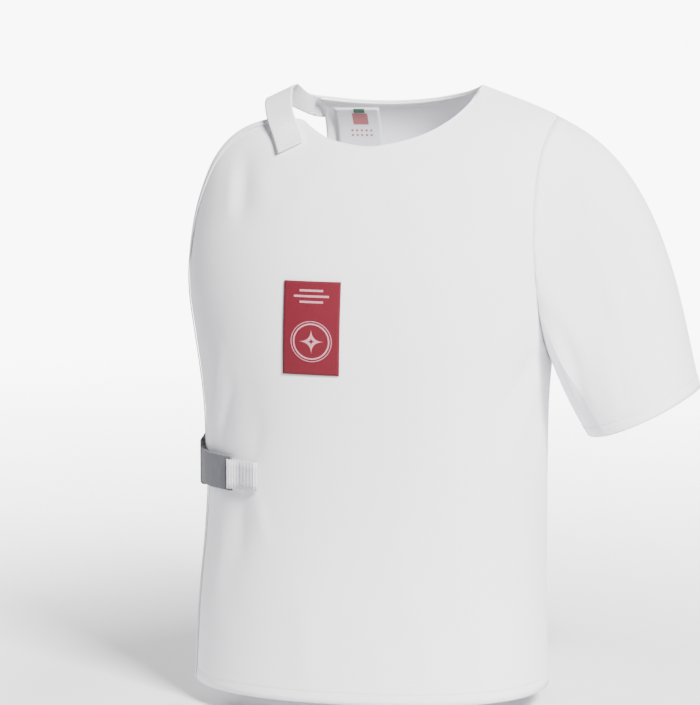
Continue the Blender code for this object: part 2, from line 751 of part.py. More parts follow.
# The tab lies double on the panel and is folded round the buckle's end bar
under_lift = WEBBING_LIFT + 0.5 * WEBBING
over_lift = under_lift + WEBBING + LAY_GAP
loop_radius = 0.8 * BAR_THICKNESS + LAY_GAP + 0.5 * WEBBING
bar_lift = under_lift + loop_radius
bar_length = TAB_LENGTH + BAR_BEYOND_TAB
tab_path = [beside_panel(length, under_lift) for length in np.linspace(0, TAB_LENGTH, 7)]
for angle in np.linspace(-90, 90, 9):
    length = bar_length + loop_radius * math.cos(math.radians(angle))
    tab_path.append(beside_panel(length, bar_lift + loop_radius * math.sin(math.radians(angle))))
tab_path += [beside_panel(length, over_lift) for length in np.linspace(TAB_LENGTH - BAR_BEYOND_TAB, 1.5, 6)]
upright_band("waist_tab", tab_path, WAIST_HEIGHT, TAB_WIDTH, WEBBING, white_webbing, rows=2)


def hard_box(name, sizes, bevel, surface):
    """Rounded box of hard plastic, centred on its own origin, as an object."""
    mesh = bpy.data.meshes.new(name)
    made = new_object(name, mesh, surface)
    shaper = bmesh.new()
    bmesh.ops.create_cube(shaper, size=1.0)
    bmesh.ops.scale(shaper, vec=Vector(sizes) * MM, verts=shaper.verts)
    shaper.to_mesh(mesh)
    shaper.free()
    rounding = made.modifiers.new("rounding", "BEVEL")
    rounding.width = bevel * MM
    rounding.segments = 3
    rounding.limit_method = "ANGLE"
    return made


def cutter_box(name, sizes, centre):
    """Cutting box inside the frame of a buckle part."""
    mesh = bpy.data.meshes.new(name)
    made = bpy.data.objects.new(name, mesh)
    cutters.objects.link(made)
    shaper = bmesh.new()
    bmesh.ops.create_cube(shaper, size=1.0)
    bmesh.ops.scale(shaper, vec=Vector(sizes) * MM, verts=shaper.verts)
    bmesh.ops.translate(shaper, vec=Vector(centre) * MM, verts=shaper.verts)
    shaper.to_mesh(mesh)
    shaper.free()
    made.hide_render = True
    made.display_type = "WIRE"
    return made


def cut(target, cutter):
    """Takes the cutter away from the target."""
    opening = target.modifiers.new(cutter.name, "BOOLEAN")
    opening.operation = "DIFFERENCE"
    opening.solver = "EXACT"
    opening.object = cutter


def place_along(target, start, end):
    """Puts a part's own x axis on the level line from start to end."""
    start, end = np.array(start), np.array(end)
    x, y = 0.5 * (start + end)
    turn = math.atan2(end[1] - start[1], end[0] - start[0])
    place = Matrix.Translation(Vector((x, y, WAIST_HEIGHT)) * MM)
    target.matrix_world = place @ Matrix.Rotation(turn, 4, "Z")


plate_lengths = np.linspace(bar_length - 0.5 * BAR_THICKNESS, travelled[-1], 14)
plate_lifts = np.linspace(bar_lift, PLATE_END_LIFT, len(plate_lengths))
plate_path = [beside_panel(length, lift) for length, lift in zip(plate_lengths, plate_lifts)]
female_direction = unit(np.array(FEMALE_DIRECTION))
plate_path += [plate_path[-1] + share * PLATE_OVERHANG * female_direction for share in (0.5, 1.0)]
male = upright_band("buckle_male", plate_path, WAIST_HEIGHT, PLATE_WIDTH, BAR_THICKNESS, grey_plastic)
slot_start = beside_panel(bar_length + 0.5 * BAR_THICKNESS, bar_lift)
slot_end = beside_panel(bar_length + 0.5 * BAR_THICKNESS + MALE_SLOT, bar_lift)
slot = cutter_box("male_slot", (MALE_SLOT, 4 * BAR_THICKNESS, TAB_WIDTH + 1.0), (0.0, 0.0, 0.0))
place_along(slot, slot_start, slot_end)
cut(male, slot)

female_start = plate_path[-1] + LAY_GAP * female_direction
female_end = female_start + FEMALE_LENGTH * female_direction
female = hard_box("buckle_female", (FEMALE_LENGTH, FEMALE_THICKNESS, FEMALE_WIDTH), 3.5, dark_plastic)
place_along(female, female_start, female_end)
strap_slot = cutter_box(
    "female_slot",
    (FEMALE_SLOT, 4 * FEMALE_THICKNESS, STRAP_WIDTH + 1.4),
    (0.5 * FEMALE_LENGTH - FEMALE_SLOT_INSET, 0.0, 0.0),
)
strap_slot.matrix_world = female.matrix_world
cut(female, strap_slot)

# The elastic passes through the buckle's end slot and is sewn to the back panel
back_end = level_places(back_skin, 300.0, np.linspace(-97.5, -72.0, 6), WAIST_HEIGHT, STRAP_WIDTH)
back_end[:, 1] += WEBBING_LIFT + 0.5 * ELASTIC
elastic_start = female_start + (FEMALE_LENGTH + LAY_GAP + 0.5 * ELASTIC) * female_direction
elastic_rows = np.vstack((elastic_start, np.array(ELASTIC_PATH), back_end))
elastic_path = smooth_curve(elastic_rows, 30)
upright_band("waist_strap", elastic_path, WAIST_HEIGHT, STRAP_WIDTH, ELASTIC, grey_elastic)
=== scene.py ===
import math

import bmesh
import bpy
import numpy as np
from mathutils import Matrix, Vector
from mathutils.bvhtree import BVHTree


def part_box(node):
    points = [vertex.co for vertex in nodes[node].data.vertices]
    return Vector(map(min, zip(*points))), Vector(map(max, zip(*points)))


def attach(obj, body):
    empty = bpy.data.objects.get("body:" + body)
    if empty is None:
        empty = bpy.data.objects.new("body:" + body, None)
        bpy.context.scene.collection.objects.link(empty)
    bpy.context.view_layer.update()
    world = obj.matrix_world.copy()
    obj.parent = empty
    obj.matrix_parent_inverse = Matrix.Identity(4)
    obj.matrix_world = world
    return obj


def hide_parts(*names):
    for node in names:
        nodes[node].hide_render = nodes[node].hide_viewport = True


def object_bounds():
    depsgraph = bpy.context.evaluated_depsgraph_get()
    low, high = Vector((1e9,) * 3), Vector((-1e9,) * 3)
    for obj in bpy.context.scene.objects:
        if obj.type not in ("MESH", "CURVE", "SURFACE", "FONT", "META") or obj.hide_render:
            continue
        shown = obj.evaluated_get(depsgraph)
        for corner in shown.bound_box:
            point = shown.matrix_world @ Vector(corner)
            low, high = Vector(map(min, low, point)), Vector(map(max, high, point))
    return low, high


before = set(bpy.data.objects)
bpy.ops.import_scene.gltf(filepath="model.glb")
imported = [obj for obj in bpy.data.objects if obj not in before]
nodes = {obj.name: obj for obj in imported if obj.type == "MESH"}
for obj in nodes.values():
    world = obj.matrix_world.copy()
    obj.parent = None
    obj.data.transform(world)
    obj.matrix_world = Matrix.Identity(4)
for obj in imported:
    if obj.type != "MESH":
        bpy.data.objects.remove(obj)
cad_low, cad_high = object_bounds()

# ---------------------------------------------------------------- front and back panels
# The body of the jacket is two panels of tightly woven white cloth, cut to a shaped
# pattern and sewn along one shoulder and one side.  The wearer's right side stays open.
# The cloth is firm enough to keep its round, and buckles softly where a strap pulls it.

GARMENT_HALF_WIDTH = 0.178
GARMENT_HALF_DEPTH = 0.117
THREAD_PITCH = 0.0011
HEM_DEPTH = 0.011
HEM_PROUD = 0.0003
MERGE_REACH = 2e-6
RIM_ANGLE = math.radians(50)
SMOOTH_ANGLE = math.radians(48)
CLOTH_LEVELS = 2
SEAM_CLOSE = 0.0002
CREASE_FULLNESS = 1.5


def merged_copy(node):
    """The node's own triangles, joined at their corners and paired into four-sided faces."""
    shaper = bmesh.new()
    shaper.from_mesh(nodes[node].data)
    bmesh.ops.remove_doubles(shaper, verts=shaper.verts, dist=MERGE_REACH)
    bmesh.ops.join_triangles(
        shaper,
        faces=shaper.faces[:],
        angle_face_threshold=math.radians(35),
        angle_shape_threshold=math.radians(70),
    )
    return shaper


def rim_edges(shaper):
    """Edges where the sheet turns over into its own thickness."""
    paired = [e for e in shaper.edges if len(e.link_faces) == 2]
    return [e for e in paired if e.calc_face_angle() > RIM_ANGLE]


def close_seams(shaper, reach):
    """Moves each rim outwards in its own plane, so that sewn neighbours meet in the seam."""
    sharp = set(rim_edges(shaper))
    moves = {}
    for face in shaper.faces:
        if sum(edge in sharp for edge in face.edges) >= 2:
            for vert in face.verts:
                moves.setdefault(vert, []).append(face.normal.copy())
    for vert, ways in moves.items():
        away = Vector()
        for way in ways:
            if all(way.dot(other) < 0.5 for other in ways[: ways.index(way)]):
                away += way
        vert.co += reach * away


def rim_sides(node):
    """The outer rim of a sheet as its separate sides, each an ordered row of points."""
    shaper = merged_copy(node)
    at = {}
    for edge in rim_edges(shaper):
        for vert in edge.verts:
            at.setdefault(vert, []).append(edge)
    corners = [vert for vert, edges in at.items() if len(edges) >= 3]
    loops = []
    seen = set()
    for corner in corners:
        for first in at[corner]:
            if first in seen or first.other_vert(corner) in corners:
                continue
            line, here, edge = [corner], corner, first
            while edge is not None:
                seen.add(edge)
                here = edge.other_vert(here)
                line.append(here)
                ahead = [e for e in at[here] if e is not edge and e not in seen]
                edge = ahead[0] if here not in corners and ahead else None
            loops.append(np.array([vert.co[:] for vert in line]))
    shaper.free()
    return loops


def length_of(line):
    return float(np.linalg.norm(np.diff(line, axis=0), axis=1).sum())


def outer_side(node, choose):
    """The side of the sheet's rim that choose scores highest, on the outer face."""
    scored = sorted(rim_sides(node), key=lambda line: choose(line.mean(axis=0)), reverse=True)
    return max(scored[:2], key=length_of)


def crease_field(points, creases, facing):
    """Signed height of the listed troughs and ridges at each point, in metres."""
    lift = np.zeros(len(points))
    flat = points[:, [0, 2]]
    for side, across, height, to_across, to_height, half_width, depth in creases:
        start = np.array((across, height)) * 0.001
        along = np.array((to_across, to_height)) * 0.001 - start
        share = ((flat - start) @ along) / (along @ along)
        nearest = start + np.clip(share, 0, 1)[:, None] * along
        off = np.linalg.norm(flat - nearest, axis=1) / (half_width * 0.001)
        fade = np.sin(math.pi * np.clip(0.1 + 0.8 * share, 0, 1))
        lift += CREASE_FULLNESS * depth * 0.001 * fade * np.exp(-(off**2)) * (facing == side)
    return lift


def smooth_object(shaper, name, seam=0.0):
    """Subdivides a sheet, keeping its rims where they are, and returns a plain object."""
    if seam:
        close_seams(shaper, seam)
    crease = shaper.edges.layers.float.new("crease_edge")
    for edge in rim_edges(shaper):
        edge[crease] = 1.0
    mesh = bpy.data.meshes.new(name)
    shaper.to_mesh(mesh)
    shaper.free()
    rough = bpy.data.objects.new(name + "_rough", mesh)
    bpy.context.scene.collection.objects.link(rough)
    smoother = rough.modifiers.new("smooth", "SUBSURF")
    smoother.levels = smoother.render_levels = CLOTH_LEVELS
    bpy.context.view_layer.update()
    seen = rough.evaluated_get(bpy.context.evaluated_depsgraph_get())
    made_mesh = bpy.data.meshes.new_from_object(seen)
    bpy.data.objects.remove(rough)
    made = bpy.data.objects.new(name, made_mesh)
    bpy.context.scene.collection.objects.link(made)
    made_mesh.polygons.foreach_set("use_smooth", [True] * len(made_mesh.polygons))
    made_mesh.set_sharp_from_angle(angle=SMOOTH_ANGLE)
    return made


def read_points(mesh):
    points = np.zeros(len(mesh.vertices) * 3, np.float32)
    mesh.vertices.foreach_get("co", points)
    return points.reshape(-1, 3).astype(float)


def write_points(mesh, points):
    mesh.vertices.foreach_set("co", points.astype(np.float32).ravel())
    mesh.update()


def body_outward(points):
    """Level direction away from the middle of the body."""
    across = points[:, 0] / GARMENT_HALF_WIDTH**2
    deep = points[:, 1] / GARMENT_HALF_DEPTH**2
    away = np.stack((across, deep, 0 * across), axis=1)
    return away / np.maximum(np.linalg.norm(away, axis=1), 1e-9)[:, None]


def spread_uv(made, places):
    """Gives every corner of the sheet its place on the flat cloth, in metres."""
    layer = made.data.uv_layers.new(name="cloth")
    corner = np.zeros(len(made.data.loops), np.int32)
    made.data.loops.foreach_get("vertex_index", corner)
    layer.data.foreach_set("uv", places[corner].astype(np.float32).ravel())


def edge_distance(made, lines):
    """Stores how far each point of the sheet is from its hemmed edges, if it has any."""
    points = read_points(made.data)
    nearest = np.full(len(points), 1.0)
    for line in lines:
        for start, end in zip(line[:-1], line[1:]):
            along = end - start
            share = np.clip(((points - start) @ along) / max(along @ along, 1e-12), 0, 1)
            off = np.linalg.norm(points - start - share[:, None] * along, axis=1)
            nearest = np.minimum(nearest, off)
    layer = made.data.attributes.new("from_edge", "FLOAT", "POINT")
    layer.data.foreach_set("value", nearest.astype(np.float32))
    return nearest


class Wire:
    """A shader socket that takes part in sums."""

    def __init__(self, finish, socket):
        self.finish, self.socket = finish, socket

    def sum(self, operation, *others):
        values = {k + 1: other for k, other in enumerate(others)}
        return self.finish.node("ShaderNodeMath", {"operation": operation}, {0: self, **values})

    def __add__(self, other):
        return self.sum("ADD", other)

    def __sub__(self, other):
        return self.sum("SUBTRACT", other)

    def __mul__(self, other):
        return self.sum("MULTIPLY", other)

    def __truediv__(self, other):
        return self.sum("DIVIDE", other)

    __radd__ = __add__
    __rmul__ = __mul__

    def __rsub__(self, other):
        return (self * -1.0) + other

    def bump(self, centre, half_width):
        """1 on the line, falling to 0 half a width away."""
        off = (self - centre).sum("ABSOLUTE") / half_width
        return (1.0 - off).sum("MAXIMUM", 0.0)

    def wave(self, pitch):
        return (self * (2 * math.pi / pitch)).sum("SINE")


class Finish:
    """A procedural material under construction."""

    def __init__(self, name):
        self.material = bpy.data.materials.new(name)
        self.material.use_nodes = True
        self.tree = self.material.node_tree
        self.skin = self.tree.nodes["Principled BSDF"]

    def node(self, kind, settings=None, inputs=None, output=0):
        made = self.tree.nodes.new(kind)
        for key, value in (settings or {}).items():
            setattr(made, key, value)
        for key, value in (inputs or {}).items():
            self.give(made.inputs[key], value)
        return Wire(self, made.outputs[output])

    def give(self, socket, value):
        if isinstance(value, Wire):
            self.tree.links.new(value.socket, socket)
        else:
            socket.default_value = value

    def set(self, **inputs):
        for key, value in inputs.items():
            self.give(self.skin.inputs[key.replace("_", " ")], value)

    def mix(self, share, first, second):
        made = self.tree.nodes.new("ShaderNodeMix")
        made.data_type = "RGBA"
        self.give(made.inputs[0], share)
        self.give(made.inputs[6], first)
        self.give(made.inputs[7], second)
        return Wire(self, made.outputs[2])

    def noise(self, place, scale, detail=3.0):
        inputs = {"Vector": place, "Scale": scale, "Detail": detail}
        return self.node("ShaderNodeTexNoise", {}, inputs)

    def place(self):
        return self.node("ShaderNodeTexCoord", {}, {}, "Object")

    def cloth_axes(self, layer="cloth"):
        spot = self.node("ShaderNodeUVMap", {"uv_map": layer})
        split = self.tree.nodes.new("ShaderNodeSeparateXYZ")
        self.tree.links.new(spot.socket, split.inputs[0])
        return Wire(self, split.outputs[0]), Wire(self, split.outputs[1])

    def stored(self, name):
        return self.node("ShaderNodeAttribute", {"attribute_name": name}, {}, "Fac")

    def relief(self, height, distance, strength=1.0):
        inputs = {"Height": height, "Distance": distance, "Strength": strength}
        self.set(Normal=self.node("ShaderNodeBump", {}, inputs))


def woven_cloth(name, tint, shade):
    """Matt white cloth: a fine plain weave, faint slubs, puckers along its stitching, and painted
    shade darkening the groove of its hem stitch line.
    """
    made = Finish(name)
    place = made.place()
    around, down = made.cloth_axes()
    from_edge = made.stored("from_edge")
    blotch = made.noise(place, 9.0, 2.0)
    slub = made.noise(place, 260.0, 2.0)
    warp = around.wave(THREAD_PITCH)
    weft = down.wave(THREAD_PITCH)
    weave = warp * weft
    pucker = from_edge.bump(HEM_DEPTH, 0.0045) * (made.noise(place, 130.0, 1.0) - 0.5)
    hem_groove_and_shade = from_edge.bump(HEM_DEPTH, 0.0016)
    # Painted shade: the tone is darkened along the hem stitch line, in the groove of the stitching.
    tone = (blotch * 0.7 + slub * 0.3 + weave * 0.05 - hem_groove_and_shade * 0.2).sum("MAXIMUM", 0.0)
    made.set(Base_Color=made.mix(tone, shade, tint))
    made.set(Roughness=0.86 + 0.1 * (slub - 0.5))
    made.set(Sheen_Weight=0.12, Sheen_Roughness=0.5, Specular_IOR_Level=0.25)
    wrinkle = made.noise(place, 22.0, 2.0) * 0.55
    made.relief(weave * 0.05 + slub * 0.12 + pucker * 1.6 - hem_groove_and_shade * 0.7 + wrinkle, 0.0011, 0.55)
    return made.material


white_cloth = woven_cloth("white_woven_cloth", (0.90, 0.895, 0.925, 1), (0.83, 0.825, 0.865, 1))

FRONT_CREASES = (
    # side  across height to_across to_height half_width depth, in millimetres
    (-1, -130, -66, -128, -132, 7, -1.6),
    (-1, -141, -74, -143, -128, 5, 1.2),
    (-1, -112, -70, -104, -118, 9, 0.9),
    (-1, -150, -262, -175, -366, 6, 1.7),
    (-1, -137, -286, -160, -372, 6, -1.5),
    (-1, -121, -300, -140, -366, 9, 1.1),
    (-1, -105, -322, -118, -372, 7, -0.8),
    (-1, -128, -404, -132, -470, 8, -1.4),
    (-1, -112, -402, -104, -450, 7, 0.9),
    (-1, -146, -408, -158, -510, 9, 1.1),
    (-1, 158, -258, 128, -318, 6, -1.5),
    (-1, 164, -270, 142, -352, 6, 1.2),
    (-1, 166, -296, 150, -388, 8, -1.1),
    (-1, 150, -176, 128, -232, 9, -1.0),
    (-1, 20, -470, 34, -585, 16, -0.9),
    (-1, 96, -430, 104, -560, 13, 0.9),
    (-1, -64, -500, -58, -592, 13, 0.8),
    (-1, 40, -70, 96, -120, 14, -0.8),
    (-1, -40, -72, -86, -130, 14, 0.6),
)
BACK_CREASES = (
    (1, -78, -250, -96, -366, 8, 1.6),
    (1, -58, -282, -80, -372, 8, -1.5),
    (1, -34, -310, -66, -378, 9, 1.0),
    (1, -84, -402, -90, -494, 9, -1.3),
    (1, -60, -400, -40, -462, 9, 0.9),
    (1, 156, -258, 120, -330, 7, -1.6),
    (1, 162, -280, 134, -372, 7, 1.3),
    (1, 150, -316, 138, -410, 9, -1.0),
    (1, 148, -180, 112, -226, 10, -1.1),
    (1, 60, -330, 10, -366, 13, 0.9),
    (1, 70, -356, 16, -392, 11, -0.9),
    (1, 30, -460, 44, -580, 16, -1.0),
    (1, 100, -440, 96, -566, 13, 0.9),
    (1, -30, -110, 34, -124, 15, 0.8),
    (1, 60, -104, 112, -150, 14, -0.9),
)


def body_panel(node, creases):
    """A body panel as a smooth shell of cloth with its creases and its hem."""
    made = smooth_object(merged_copy(node), node.replace("_", "-") + "-cloth", SEAM_CLOSE)
    points = read_points(made.data)
    facing = np.sign(points[:, 1])
    nearest = edge_distance(made, [outer_side(node, lambda middle: -middle[2])])
    lift = crease_field(points, creases, facing)
    lift = lift * np.clip(nearest / 0.02, 0.25, 1.0) + HEM_PROUD * (nearest < HEM_DEPTH)
    points += lift[:, None] * body_outward(points)
    turn = np.arctan2(points[:, 1] / GARMENT_HALF_DEPTH, points[:, 0] / GARMENT_HALF_WIDTH)
    spread_uv(made, np.stack((turn * 0.149, points[:, 2]), axis=1))
    write_points(made.data, points)
    made.data.materials.clear()
    made.data.materials.append(white_cloth)
    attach(made, "root")
    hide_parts(node)
    return made


front = body_panel("front_panel", FRONT_CREASES)
back = body_panel("back_panel", BACK_CREASES)

# ---------------------------------------------------------------- sleeve and underarm
# One short sleeve of the same cloth, set into the armhole, with a separate underarm
# piece.  It hangs away from the body, so most of its creases start under the arm.

SLEEVE_TOP = np.array((0.205, 0.0, -0.110))
SLEEVE_AXIS = np.array((0.053, 0.0, -0.213))
SLEEVE_HALF_WIDTH = 0.065

SLEEVE_CREASES = (
    # side  across height to_across to_height half_width depth, in millimetres
    (-1, 176, -236, 204, -322, 5, 1.5),
    (-1, 190, -250, 214, -330, 6, -1.4),
    (-1, 172, -214, 214, -292, 7, -1.2),
    (-1, 204, -120, 226, -196, 9, 0.9),
    (-1, 246, -168, 262, -262, 9, -1.0),
    (-1, 226, -230, 240, -322, 9, 1.0),
    (1, 176, -236, 202, -318, 6, 1.5),
    (1, 192, -246, 216, -330, 6, -1.3),
    (1, 180, -196, 222, -262, 8, -1.2),
    (1, 214, -118, 238, -186, 10, 1.0),
    (1, 250, -176, 264, -268, 9, -1.0),
)


def sleeve_panel(node):
    """Part of the sleeve as a smooth shell, creased square to its own slant."""
    made = smooth_object(merged_copy(node), node.replace("_", "-") + "-cloth", SEAM_CLOSE)
    points = read_points(made.data)
    slant = SLEEVE_AXIS / np.linalg.norm(SLEEVE_AXIS)
    from_top = points - SLEEVE_TOP
    down = from_top @ slant
    away = from_top - down[:, None] * slant
    away /= np.maximum(np.linalg.norm(away, axis=1), 1e-9)[:, None]
    hem = outer_side(node, lambda middle: middle[0] - middle[2])
    nearest = edge_distance(made, [hem])
    lift = crease_field(points, SLEEVE_CREASES, np.sign(points[:, 1]))
    lift = lift * np.clip(nearest / 0.03, 0.2, 1.0) + HEM_PROUD * (nearest < HEM_DEPTH)
    level = np.cross(slant, (0.0, 1.0, 0.0))
    turn = np.arctan2(away @ level, away[:, 1])
    spread_uv(made, np.stack((turn * SLEEVE_HALF_WIDTH, down), axis=1))
    write_points(made.data, points + lift[:, None] * away)
    made.data.materials.clear()
    made.data.materials.append(white_cloth)
    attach(made, "root")
    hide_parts(node)
    return made


sleeve = sleeve_panel("sleeve")
underarm = sleeve_panel("underarm_panel")

# ---------------------------------------------------------------- sewing
# The hems are turned up once and lockstitched, and so is the back's free edge.  Each
# stitch is a short run of polyester thread, lying flat on the cloth.

STITCH_PITCH = 0.0030
STITCH_LENGTH = 0.0023
THREAD_WIDTH = 0.00046


def thread_material():
    made = Finish("polyester_thread")
    place = made.place()
    fleck = made.noise(place, 900.0, 2.0)
    made.set(Base_Color=made.mix(fleck, (0.80, 0.80, 0.83, 1), (0.93, 0.93, 0.95, 1)))
    made.set(Roughness=0.5 + 0.2 * fleck, Specular_IOR_Level=0.4, Sheen_Weight=0.1)
    made.relief(fleck, 0.0002, 0.4)
    return made.material


def stitch_tree(thread):
    """Geometry nodes that lay stitches along a sewn line, flat on the cloth under it."""
    tree = bpy.data.node_groups.new("row_of_stitches", "GeometryNodeTree")
    face = tree.interface
    face.new_socket("Line", in_out="INPUT", socket_type="NodeSocketGeometry")
    for label in ("Pitch", "Stitch length", "Thread width"):
        face.new_socket(label, in_out="INPUT", socket_type="NodeSocketFloat")
    face.new_socket("Stitches", in_out="OUTPUT", socket_type="NodeSocketGeometry")
    link = tree.links.new
    make = tree.nodes.new
    given, result = make("NodeGroupInput"), make("NodeGroupOutput")
    curve, resample = make("GeometryNodeMeshToCurve"), make("GeometryNodeResampleCurve")
    resample.mode = "LENGTH"
    run = make("GeometryNodeMeshUVSphere")
    run.inputs["Segments"].default_value = 6
    run.inputs["Rings"].default_value = 5
    run.inputs["Radius"].default_value = 0.5
    shape = make("ShaderNodeCombineXYZ")
    tangent, lie = make("GeometryNodeInputTangent"), make("GeometryNodeInputNamedAttribute")
    lie.data_type = "FLOAT_VECTOR"
    lie.inputs["Name"].default_value = "lie"
    aim = make("FunctionNodeAlignRotationToVector")
    level = make("FunctionNodeAlignRotationToVector")
    aim.axis, level.axis, level.pivot_axis = "X", "Z", "X"
    spots, real = make("GeometryNodeInstanceOnPoints"), make("GeometryNodeRealizeInstances")
    smooth, paint = make("GeometryNodeSetShadeSmooth"), make("GeometryNodeSetMaterial")
    paint.inputs["Material"].default_value = thread
    link(given.outputs["Line"], curve.inputs["Mesh"])
    link(curve.outputs["Curve"], resample.inputs["Curve"])
    link(given.outputs["Pitch"], resample.inputs["Length"])
    link(given.outputs["Stitch length"], shape.inputs[0])
    link(given.outputs["Thread width"], shape.inputs[1])
    link(given.outputs["Thread width"], shape.inputs[2])
    link(tangent.outputs[0], aim.inputs["Vector"])
    link(aim.outputs[0], level.inputs["Rotation"])
    link(lie.outputs["Attribute"], level.inputs["Vector"])
    link(resample.outputs["Curve"], spots.inputs["Points"])
    link(run.outputs["Mesh"], spots.inputs["Instance"])
    link(level.outputs[0], spots.inputs["Rotation"])
    link(shape.outputs[0], spots.inputs["Scale"])
    link(spots.outputs[0], real.inputs[0])
    link(real.outputs[0], smooth.inputs[0])
    link(smooth.outputs[0], paint.inputs[0])
    link(paint.outputs[0], result.inputs["Stitches"])
    return tree


thread = thread_material()
sewing = stitch_tree(thread)


def surface_of(*made):
    """One search tree over the outsides of several pieces."""
    corners, faces = [], []
    for piece in made:
        start = len(corners)
        corners += [v.co.copy() for v in piece.data.vertices]
        faces += [[start + k for k in p.vertices] for p in piece.data.polygons]
    return BVHTree.FromPolygons(corners, faces)


def inset_line(line, outward, tree, inset, lift):
    """Moves a rim line onto the cloth beside it, and gives the way the cloth faces there."""
    count = max(int(length_of(line) / 0.004), 4)
    steps = np.concatenate(([0], np.cumsum(np.linalg.norm(np.diff(line, axis=0), axis=1))))
    even = np.linspace(inset * 0.5, steps[-1] - inset * 0.5, count)
    fine = np.stack([np.interp(even, steps, line[:, k]) for k in range(3)], axis=1)
    ahead = np.gradient(fine, axis=0)
    places, ways = [], []
    for spot, along in zip(fine, ahead):
        away = outward(spot)
        inward = np.cross(away, along)
        inward /= max(np.linalg.norm(inward), 1e-9)
        found = None
        for sign in (1, -1):
            probe = Vector(spot + sign * inset * inward + 0.003 * away)
            place, way, _, off = tree.find_nearest(probe)
            if found is None or off < found[2]:
                found = (place, way, off)
        place, way = found[0], found[1]
        if way.dot(Vector(away)) < 0:
            way = -way
        places.append(place + lift * way)
        ways.append(way)
    return places, ways


def sew(name, rows, pitch=STITCH_PITCH, length=STITCH_LENGTH, width=THREAD_WIDTH):
    """Lays rows of stitches, each (places, ways), as one plain mesh."""
    mesh = bpy.data.meshes.new(name + "_line")
    shaper = bmesh.new()
    ways = []
    for places, faces in rows:
        verts = [shaper.verts.new(place) for place in places]
        for start, end in zip(verts[:-1], verts[1:]):
            shaper.edges.new((start, end))
        ways += faces
    shaper.to_mesh(mesh)
    shaper.free()
    lie = mesh.attributes.new("lie", "FLOAT_VECTOR", "POINT")
    lie.data.foreach_set("vector", np.array([w[:] for w in ways], np.float32).ravel())
    line = bpy.data.objects.new(name + "_line", mesh)
    bpy.context.scene.collection.objects.link(line)
    modifier = line.modifiers.new("sewing", "NODES")
    modifier.node_group = sewing
    values = {"Pitch": pitch, "Stitch length": length, "Thread width": width}
    for item in sewing.interface.items_tree:
        if item.in_out == "INPUT" and item.name in values:
            modifier[item.identifier] = values[item.name]
    bpy.context.view_layer.update()
    seen = line.evaluated_get(bpy.context.evaluated_depsgraph_get())
    made = bpy.data.objects.new(name, bpy.data.meshes.new_from_object(seen))
    bpy.data.objects.remove(line)
    bpy.context.scene.collection.objects.link(made)
    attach(made, "root")
    return made


def torso_way(spot):
    return body_outward(spot[None, :])[0]


def sleeve_way(spot):
    slant = SLEEVE_AXIS / np.linalg.norm(SLEEVE_AXIS)
    away = (spot - SLEEVE_TOP) - ((spot - SLEEVE_TOP) @ slant) * slant
    return away / np.linalg.norm(away)


THREAD_LIFT = 0.00012
EDGE_SEWING = 0.008
front_tree, back_tree = surface_of(front), surface_of(back)
sleeve_tree, underarm_tree = surface_of(sleeve), surface_of(underarm)


def hem_side(node):
    return outer_side(node, lambda middle: -middle[2])


def free_side(node):
    return outer_side(node, lambda middle: -middle[0])


rows = [
    inset_line(hem_side("front_panel"), torso_way, front_tree, HEM_DEPTH, THREAD_LIFT),
    inset_line(hem_side("back_panel"), torso_way, back_tree, HEM_DEPTH, THREAD_LIFT),
]
sew("body-hem-stitches", rows)
sleeve_hem = outer_side("sleeve", lambda middle: middle[0] - middle[2])
rows = [inset_line(sleeve_hem, sleeve_way, sleeve_tree, HEM_DEPTH, THREAD_LIFT)]
under_hem = outer_side("underarm_panel", lambda middle: middle[0] - middle[2])
rows.append(inset_line(under_hem, sleeve_way, underarm_tree, HEM_DEPTH, THREAD_LIFT))
sew("sleeve-hem-stitches", rows)
rows = [inset_line(free_side("back_panel"), torso_way, back_tree, EDGE_SEWING, THREAD_LIFT)]
sew("side-edge-stitches", rows)

# ---------------------------------------------------------------- neck facing and side edge
# A narrow facing of the same cloth finishes the back neck on the inside, and a turned
# strip finishes the open side of the front.  Both are stitched flat.

# The trim is the same cloth as the body in darker colours: painted shade on the inner neck facing,
# the side strip and the strap pad.
trim_cloth_painted_shade = woven_cloth("white_trim_cloth", (0.86, 0.86, 0.885, 1), (0.78, 0.78, 0.815, 1))
PLAIN_STRIP_UV = 0.149


def plain_sheet(node, name, finish):
    """A small sheet with no creases of its own: the node smoothed, and finished as cloth."""
    made = smooth_object(merged_copy(node), name)
    points = read_points(made.data)
    edge_distance(made, [])
    turn = np.arctan2(points[:, 1], points[:, 0])
    spread_uv(made, np.stack((turn * PLAIN_STRIP_UV, points[:, 2]), axis=1))
    made.data.materials.clear()
    made.data.materials.append(finish)
    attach(made, "root")
    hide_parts(node)
    return made


facing = plain_sheet("back_neck_facing", "back-neck-facing-cloth", trim_cloth_painted_shade)
strip = plain_sheet("side_edge_strip", "side-edge-strip-cloth", trim_cloth_painted_shade)

# ---------------------------------------------------------------- chest badge
# A woven crimson badge, 57 by 92 mm, sewn flat on the chest.
# Its woven device is a plain one: a ring with a four-pointed star, and three bars.


